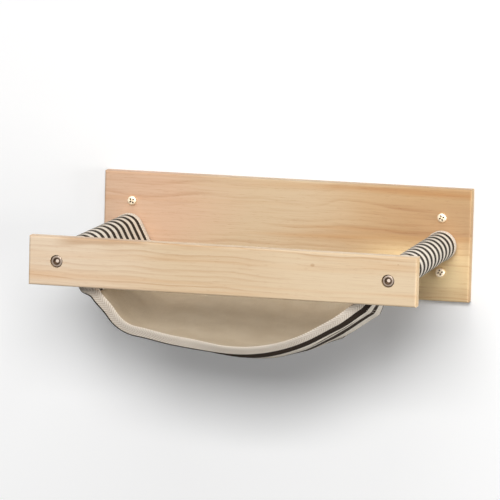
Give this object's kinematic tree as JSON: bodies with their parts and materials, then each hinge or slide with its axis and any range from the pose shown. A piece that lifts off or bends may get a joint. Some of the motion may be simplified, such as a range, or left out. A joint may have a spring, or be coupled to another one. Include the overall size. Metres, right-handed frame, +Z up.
{
  "type": "wall mounted cat hammock",
  "caption": "Wall mounted pet hammock: a wooden back board and front bar joined by dowels, with a striped canvas sling hung from the dowels by its sleeves.",
  "frame": {"origin": "middle of the back board's rear face, on the wall plane and level with the dowels' axes", "axes": "+X along the boards, to the right seen from the front; +Y into the wall; +Z up"},
  "size_m": [0.4, 0.33, 0.156],
  "materials": {
    "board_wood": "planed, clear satin lacquer",
    "dowel_wood": "turned, clear satin lacquer",
    "bolt_steel": "nickel plated, dark socket",
    "insert_zinc": "bare zinc alloy",
    "screw_steel": "bright plated",
    "striped_canvas": "cotton canvas, charcoal and cream stripes outside",
    "webbing": "cream cotton herringbone webbing"
  },
  "bodies": {
    "frame": {"back_board": "board_wood", "front_bar": "board_wood", "left_dowel": "dowel_wood", "right_dowel": "dowel_wood", "front_bolts": "bolt_steel", "rear_bolts": "bolt_steel", "left_inserts": "insert_zinc", "right_inserts": "insert_zinc", "wall_screws": "screw_steel"},
    "sling": {"sling_bed": "striped_canvas", "left_sleeve": "striped_canvas", "right_sleeve": "striped_canvas", "front_binding": "webbing", "back_binding": "webbing"}
  },
  "joints": [
    {"name": "sling_slide", "type": "slide", "parent": "frame", "child": "sling", "axis": [0, 1, 0], "range_m": [-0.0025, 0.0025]}
  ]
}
